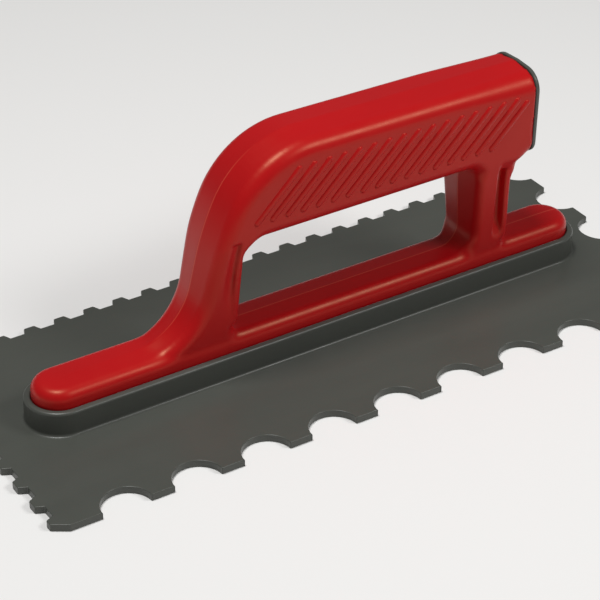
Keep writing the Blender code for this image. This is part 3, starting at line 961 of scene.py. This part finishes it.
        corner, wall = self.BORE_CORNER, self.bore_wall
        bore_y = side - (self.grip_half - sizes.grip_draft - wall) + corner
        middle = (self.top + self.under - sizes.grip_fall) / 2
        bore_z = np.abs(z - middle) - (sizes.grip_height - sizes.grip_fall) / 2 + wall + corner
        bore = np.maximum(rounded_join(bore_y, bore_z, corner), self.end - self.bore_depth - x)
        return np.maximum(solid, -bore)


class FlatLookup:
    """The side outline's distance on a fine grid, read between its points."""

    def __init__(self, shape, low, high, step):
        self.low, self.step = low, step
        sizes = [int((high[a] - low[a]) / step) + 2 for a in range(2)]
        x, z = np.meshgrid(*[low[a] + step * np.arange(sizes[a]) for a in range(2)], indexing="ij")
        self.values = shape.flat_distance(x, z)

    def read(self, x, z):
        """Distances at points between those of the grid."""
        u, v = (x - self.low[0]) / self.step, (z - self.low[1]) / self.step
        i = np.clip(u.astype(int), 0, self.values.shape[0] - 2)
        j = np.clip(v.astype(int), 0, self.values.shape[1] - 2)
        u, v = u - i, v - j
        near = self.values[i, j] * (1 - v) + self.values[i, j + 1] * v
        far = self.values[i + 1, j] * (1 - v) + self.values[i + 1, j + 1] * v
        return near * (1 - u) + far * u


def handle_skin(scene):
    """Points and quads of the handle's skin."""
    shape = HandleShape(scene)
    cell = scene.trowel_handle.cell
    margin = 3 * cell
    low = np.array(HANDLE_LOW) - margin
    high = np.array(HANDLE_HIGH) + margin
    high[2] = max(high[2], CAP_HIGH.z + margin)
    rows = int(high[1] / cell) + 1
    axes = [
        np.arange(low[0], high[0] + cell, cell),
        (np.arange(-rows, rows) + 0.5) * cell,
        np.arange(low[2], high[2] + cell, cell),
    ]
    lookup = FlatLookup(shape, (low[0], low[2]), (high[0] + cell, high[2] + cell), cell / 3)

    def distance(points):
        x, y, z = points.T
        return shape.distance(x, y, z, lookup.read(x, z))

    x, z = np.meshgrid(axes[0], axes[2], indexing="ij")
    flat = shape.flat_distance(x, z)[:, None, :]
    field = shape.distance(x[:, None, :], axes[1][None, :, None], z[:, None, :], flat)
    points, quads = surface_net(field, axes)
    # Slide each point along the slope onto the skin itself, in a few short moves.
    probe = 0.05 * MM
    longest = 0.35 * cell
    for _ in range(4):
        here = distance(points)
        slope = np.empty_like(points)
        for axis in range(3):
            offset = np.zeros(3)
            offset[axis] = probe
            slope[:, axis] = (distance(points + offset) - distance(points - offset)) / (2 * probe)
        square = np.maximum((slope**2).sum(axis=1), 0.25)
        move = -(here / square)[:, None] * slope
        size = np.linalg.norm(move, axis=1, keepdims=True)
        points = points + move * np.minimum(1, longest / np.maximum(size, 1e-9))
    return points, quads


class TROWEL_OT_handle(bpy.types.Operator):
    """Builds the red handle: foot, columns and grip in one skin"""

    bl_idname = "trowel.handle"
    bl_label = "Handle"

    def execute(self, context):
        sizes = context.scene.trowel_handle
        points, quads = handle_skin(context.scene)
        piece = object_from_arrays("handle_moulding", points, quads)
        piece.data.materials.append(handle_red(sizes))
        piece.data.shade_smooth()
        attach(piece, "root")
        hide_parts("handle")
        return {"FINISHED"}


def handle_red(sizes):
    """The handle's and the ribs' shared finish."""
    name = "gloss_moulded_polypropylene"
    return bpy.data.materials.get(name) or red_polypropylene(name, sizes.red, sizes.deep_red)


# ---------------------------------------------------------------- ribs


RIB_SIDES = {"Near": -1, "Far": 1}


def rib_tree():
    """Slanting ribs along both sides of the grip, each the top of a capsule sunk in it."""
    tree = geometry_tree(
        "grip ribs",
        Int=["Last"] + [f"{side} Count" for side in RIB_SIDES],
        Vector=["Half Size", "Straight", "Lean", "Last Shift", "Last Scale"]
        + [f"{side} {word}" for side in RIB_SIDES for word in ("Start", "Step", "Draft")],
    )
    source = node(tree, "NodeGroupInput").outputs

    # A ball pulled apart along X makes the capsule, and its Y is the way it stands out. The ring in
    # its middle, less than a hundredth off X = 0, stays in place.
    ball = node(tree, "GeometryNodeMeshUVSphere", {"Segments": 32, "Rings": 16, "Radius": 1.0})
    turned = node(tree, "GeometryNodeTransform", {"Geometry": ball, "Rotation": (0.0, math.pi / 2, 0.0)})
    spot = node(tree, "GeometryNodeInputPosition")
    along = node(tree, "ShaderNodeSeparateXYZ", {0: spot})
    steps = node(tree, "ShaderNodeMath", {0: along, 1: 100.0}, operation="MULTIPLY")
    whole = node(tree, "ShaderNodeMath", {0: steps}, operation="TRUNC")
    end = node(tree, "ShaderNodeMath", {0: whole}, operation="SIGN")
    apart = node(tree, "ShaderNodeVectorMath", {0: source["Straight"], "Scale": end}, operation="SCALE")
    shaped = node(
        tree,
        "ShaderNodeVectorMath",
        {0: spot, 1: source["Half Size"], 2: apart},
        operation="MULTIPLY_ADD",
    )
    rib = node(tree, "GeometryNodeSetPosition", {"Geometry": turned, "Position": shaped})

    # The last rib stops short of the grip's end: it is squeezed towards its lower end.
    index = node(tree, "GeometryNodeInputIndex")
    last = node(
        tree, "FunctionNodeCompare", {2: index, 3: source["Last"]}, data_type="INT", operation="EQUAL"
    )
    squeeze = node(
        tree,
        "GeometryNodeSwitch",
        {"Switch": last, "False": (1.0, 1.0, 1.0), "True": source["Last Scale"]},
        input_type="VECTOR",
    )
    rows = []
    for side in RIB_SIDES:
        placed = instance_row(tree, source, side, rib, Rotation=source["Lean"], Scale=squeeze)
        moved = node(
            tree,
            "GeometryNodeTranslateInstances",
            {
                "Instances": placed,
                "Selection": last,
                "Translation": source["Last Shift"],
                "Local Space": False,
            },
        )
        leaned = node(
            tree,
            "GeometryNodeRotateInstances",
            {
                "Instances": moved,
                "Rotation": source[f"{side} Draft"],
                "Pivot Point": source[f"{side} Start"],
                "Local Space": False,
            },
        )
        rows.append(node(tree, "GeometryNodeRealizeInstances", {"Geometry": leaned}))
    finish_tree(tree, node(tree, "GeometryNodeJoinGeometry", {0: rows}))
    return tree


class TROWEL_OT_ribs(bpy.types.Operator):
    """Builds the slanting ribs on both sides of the grip"""

    bl_idname = "trowel.ribs"
    bl_label = "Grip ribs"

    def execute(self, context):
        sizes = context.scene.trowel_ribs
        shape = HandleShape(context.scene)
        middle = (sizes.low + sizes.high) / 2
        rise = sizes.high - sizes.low
        run = rise / math.tan(sizes.lean)
        # A rib is the top of a wider, deeper capsule.
        deep = sizes.height + sizes.sunk
        radius = sizes.width / 2 / math.sqrt(1 - (sizes.sunk / deep) ** 2)
        length_over = math.hypot(rise, run) + 2 * radius - sizes.width
        low_half, high_half = [float(shape.half_width(0.0, z)) for z in (sizes.low, sizes.high)]
        half = (low_half + high_half) / 2 - sizes.sunk
        draft = math.atan((high_half - low_half + sizes.fade) / rise)
        short = sizes.last_short
        piece = linked("grip_ribs", bpy.data.meshes.new("grip_ribs"))
        red = handle_red(context.scene.trowel_handle)
        values = {
            "Half Size": (radius, deep, radius),
            "Straight": (length_over / 2 - radius, 0, 0),
            "Lean": (0, -sizes.lean, 0),
            "Last": sizes.count - 1,
            "Last Shift": (-short / 2 * math.cos(sizes.lean), 0, -short / 2 * math.sin(sizes.lean)),
            "Last Scale": (1 - short / length_over, 1, 1),
            "Material": red,
        }
        for side, sign in RIB_SIDES.items():
            values[f"{side} Count"] = sizes.count
            values[f"{side} Start"] = (shape.left + sizes.first_top - run / 2, sign * half, middle)
            values[f"{side} Step"] = (sizes.pitch, 0, 0)
            values[f"{side} Draft"] = (-sign * draft, 0, 0)
        run_tree(piece, rib_tree(), values)
        apply_modifiers(piece, red)
        piece.data.shade_smooth()
        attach(piece, "root")
        return {"FINISHED"}


# ---------------------------------------------------------------- end cap


class TROWEL_OT_end_cap(bpy.types.Operator):
    """Builds the grey cap with its flange and its hollow spigot"""

    bl_idname = "trowel.end_cap"
    bl_label = "End cap"

    def execute(self, context):
        sizes = context.scene.trowel_cap
        handle = context.scene.trowel_handle
        shape = HandleShape(context.scene)
        seat, face = CAP_HIGH.x - sizes.flange, CAP_HIGH.x
        high, low = shape.top - handle.grip_fall, shape.under
        upper, lower = shape.grip_half, shape.grip_half - handle.grip_draft
        rounds = [float(shape.edge_radius(shape.end, z)) for z in (low, high)]

        def ring(x, inset, crest=0.0, radius=None):
            """The grip's section at x, pulled in by inset, as one closed ring of points."""
            below, above = [radius or max(curve - inset, 1.0 * MM) for curve in rounds]
            corners = [
                (-lower + inset, low + inset, below),
                (0.0, low + inset - crest, 0),
                (lower - inset, low + inset, below),
                (upper - inset, high - inset, above),
                (0.0, high - inset + crest, 0),
                (-upper + inset, high - inset, above),
            ]
            return [(x, y, z) for y, z in rounded_outline(corners, steps=10)]

        spigot = sizes.grip_wall + SEAT_GAP
        hollow = spigot + sizes.spigot_wall
        bore_corner = shape.BORE_CORNER
        crest = handle.crest
        chamfer = 0.25 * MM
        rings = [
            ring(seat, hollow, radius=bore_corner),
            ring(CAP_LOW.x, hollow, radius=bore_corner),
            ring(CAP_LOW.x, spigot, radius=bore_corner),
            ring(seat, spigot, radius=bore_corner),
            ring(seat, chamfer, crest),
            ring(seat + chamfer, 0.0, crest),
        ]
        for inset, back in quarter_turn(4):
            rings.append(ring(face - sizes.edge_round * back, sizes.edge_round * inset, crest))
        # The face: a flat border round the shallow dish.
        border, slope = 2.4 * MM, 0.5 * MM
        rings.append(ring(face, border, crest))
        rings.append(ring(face - sizes.dish, border + slope, crest))
        piece = object_from("cap_moulding", skin(rings))
        grey = grey_polypropylene("cap_moulded_polypropylene", sizes.grey, sizes.grey)
        piece.data.materials.append(grey)
        piece.data.shade_smooth()
        piece.data.set_sharp_from_angle(angle=math.radians(35))
        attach(piece, "root")
        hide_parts("end_cap")
        return {"FINISHED"}


# ---------------------------------------------------------------- screws


def screw_tree():
    """Winds a thread round the screw's core and repeats the screw along the foot."""
    tree = geometry_tree(
        "foot screws",
        Int=["Screw Count"],
        Float=["Thread Radius", "Ridge Radius", "Thread Height", "Turns"],
        Vector=["Thread Bottom", "Screw Start", "Screw Step"],
    )
    source = node(tree, "NodeGroupInput").outputs
    helix = node(
        tree,
        "GeometryNodeCurveSpiral",
        {
            "Resolution": 28,
            "Rotations": source["Turns"],
            "Start Radius": source["Thread Radius"],
            "End Radius": source["Thread Radius"],
            "Height": source["Thread Height"],
        },
    )
    ridge = node(
        tree, "GeometryNodeCurvePrimitiveCircle", {"Resolution": 5, "Radius": source["Ridge Radius"]}
    )
    thread = node(
        tree, "GeometryNodeCurveToMesh", {"Curve": helix, "Profile Curve": ridge, "Fill Caps": True}
    )
    thread = node(
        tree, "GeometryNodeTransform", {"Geometry": thread, "Translation": source["Thread Bottom"]}
    )
    screw = node(tree, "GeometryNodeJoinGeometry", {0: [source["Geometry"], thread]})
    finish_tree(tree, instance_row(tree, source, "Screw", screw))
    return tree


class TROWEL_OT_screws(bpy.types.Operator):
    """Builds the four countersunk screws that hold the handle from below"""

    bl_idname = "trowel.screws"
    bl_label = "Foot screws"

    def execute(self, context):
        sizes = context.scene.trowel_screws
        low, high = SCREW_BOXES[0]
        head = (high.x - low.x) / 2
        neck_z = low.z + head - sizes.shank_radius
        profile = [
            (head * 0.97, low.z),
            (head, low.z + 0.15 * MM),
            (sizes.shank_radius, neck_z),
            (sizes.shank_radius, high.z - sizes.point),
            (0.25 * MM, high.z),
        ]
        segments = 48
        rings = []
        for radius, z in profile:
            turns = [2 * math.pi * i / segments for i in range(segments)]
            rings.append([(radius * math.cos(turn), radius * math.sin(turn), z) for turn in turns])
        piece = object_from("foot_screws", skin(rings))

        # The cross recess: two tapered bars cut into the head.
        half, narrow, deep = sizes.recess / 2, sizes.recess / 9, sizes.recess_depth
        cutters = []
        for turn in (0.0, math.pi / 2):
            quad = [(-half, -narrow), (half, -narrow), (half, narrow), (-half, narrow)]
            levels = ((low.z - 1 * MM, 1.5), (low.z, 1.0), (low.z + deep, 0.45))
            rings = [[(x * share, y * share**0.5, z) for x, y in quad] for z, share in levels]
            cutter = object_from("recess_cutter", skin(rings))
            cutter.data.transform(Matrix.Rotation(turn, 4, "Z"))
            boolean = piece.modifiers.new("recess", "BOOLEAN")
            boolean.object = cutter
            boolean.solver = "EXACT"
            cutters.append(cutter)
        zinc = zinc_plated_steel("zinc_plated_steel", sizes.zinc)
        height = high.z - sizes.point - neck_z
        ridge = 0.4 * MM
        values = {
            "Thread Radius": sizes.thread_radius - ridge,
            "Ridge Radius": ridge,
            "Thread Bottom": (0, 0, neck_z + 1 * MM),
            "Thread Height": height,
            "Turns": height / sizes.thread_pitch,
            **screw_row("Screw"),
            "Material": zinc,
        }
        run_tree(piece, screw_tree(), values)
        apply_modifiers(piece, zinc)
        for cutter in cutters:
            bpy.data.objects.remove(cutter)
        piece.data.shade_smooth()
        piece.data.set_sharp_from_angle(angle=math.radians(35))
        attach(piece, "root")
        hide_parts(*SCREW_NODES)
        return {"FINISHED"}


# ---------------------------------------------------------------- stage


# Where each area light stands, and its two sides, in metres.
LIGHTS = {
    "key": ((0.55, -0.66, 0.84), (0.42, 0.32)),
    "overhead": ((-0.24, 0.0, 1.2), (0.4, 0.34)),
}


def area_light(name, place, aim, size, power):
    light = bpy.data.lights.new(name, "AREA")
    light.shape = "RECTANGLE"
    light.size, light.size_y = size
    light.energy = power
    made = linked(name, light)
    made.location = place
    made.rotation_euler = (Vector(aim) - Vector(place)).to_track_quat("-Z", "Y").to_euler()


class TROWEL_OT_stage(bpy.types.Operator):
    """Lays the pale floor and sets the studio lights and the camera"""

    bl_idname = "trowel.stage"
    bl_label = "Stage"

    def execute(self, context):
        sizes = context.scene.trowel_stage
        floor = bmesh.new()
        bmesh.ops.create_grid(floor, x_segments=8, y_segments=8, size=sizes.floor_size / 2)
        ground = object_from("floor", floor)
        ground.data.transform(Matrix.Translation((0, 0, PLATE_LOW.z - 0.02 * MM)))
        ground.data.materials.append(painted_board("matt_painted_board", sizes.floor))

        world = bpy.data.worlds.new("studio")
        world.use_nodes = True
        sky = world.node_tree.nodes["Background"]
        tint = (*linear_from_hex("F2F3F5"), 1.0)
        feed(world.node_tree, sky, {"Color": tint, "Strength": sizes.sky})
        context.scene.world = world
        context.scene.view_settings.view_transform = "Standard"
        centre = (CAD_BOUNDS[0] + CAD_BOUNDS[1]) / 2
        for name, (place, size) in LIGHTS.items():
            area_light(name, place, centre, size, getattr(sizes, name))

        lens = bpy.data.cameras.new("camera")
        lens.lens = sizes.focal
        lens.sensor_width = 36.0
        lens.clip_start, lens.clip_end = 0.01, 50.0
        lens.dof.use_dof = False
        camera = linked("camera", lens)
        away = Vector((
            -math.sin(sizes.azimuth) * math.cos(sizes.elevation),
            -math.cos(sizes.azimuth) * math.cos(sizes.elevation),
            math.sin(sizes.elevation),
        ))
        camera.location = Vector((sizes.aim_x, 0.0, sizes.aim_z)) + away * sizes.distance
        facing = (-away).to_track_quat("-Z", "Y").to_matrix()
        rolled = facing @ Matrix.Rotation(sizes.roll, 3, "Z")
        camera.rotation_euler = rolled.to_euler()
        context.scene.camera = camera
        return {"FINISHED"}


# ---------------------------------------------------------------- panel and registration


OPERATORS = (
    TROWEL_OT_plate,
    TROWEL_OT_handle,
    TROWEL_OT_ribs,
    TROWEL_OT_end_cap,
    TROWEL_OT_screws,
    TROWEL_OT_stage,
)
SETTINGS = {
    "trowel_plate": PlateSettings,
    "trowel_handle": HandleSettings,
    "trowel_ribs": RibSettings,
    "trowel_cap": CapSettings,
    "trowel_screws": ScrewSettings,
    "trowel_stage": StageSettings,
}


class TROWEL_PT_panel(bpy.types.Panel):
    """Lists the trowel's pieces with their sizes and colours"""

    bl_idname = "TROWEL_PT_panel"
    bl_label = "Notched Trowel"
    bl_space_type = "VIEW_3D"
    bl_region_type = "UI"
    bl_category = "Trowel"

    def draw(self, context):
        for operator, name in zip(OPERATORS, SETTINGS):
            box = self.layout.box()
            box.operator(operator.bl_idname)
            group = getattr(context.scene, name)
            for field in group.bl_rna.properties:
                if field.identifier not in ("rna_type", "name"):
                    box.prop(group, field.identifier)


CLASSES = (*SETTINGS.values(), *OPERATORS, TROWEL_PT_panel)


def register():
    for item in CLASSES:
        bpy.utils.register_class(item)
    for name, group in SETTINGS.items():
        setattr(bpy.types.Scene, name, PointerProperty(type=group))


def unregister():
    for name in SETTINGS:
        delattr(bpy.types.Scene, name)
    for item in reversed(CLASSES):
        bpy.utils.unregister_class(item)


def main():
    register()
    bpy.ops.trowel.plate()
    bpy.ops.trowel.handle()
    bpy.ops.trowel.ribs()
    bpy.ops.trowel.end_cap()
    bpy.ops.trowel.screws()
    bpy.ops.trowel.stage()


if __name__ == "__main__":
    main()
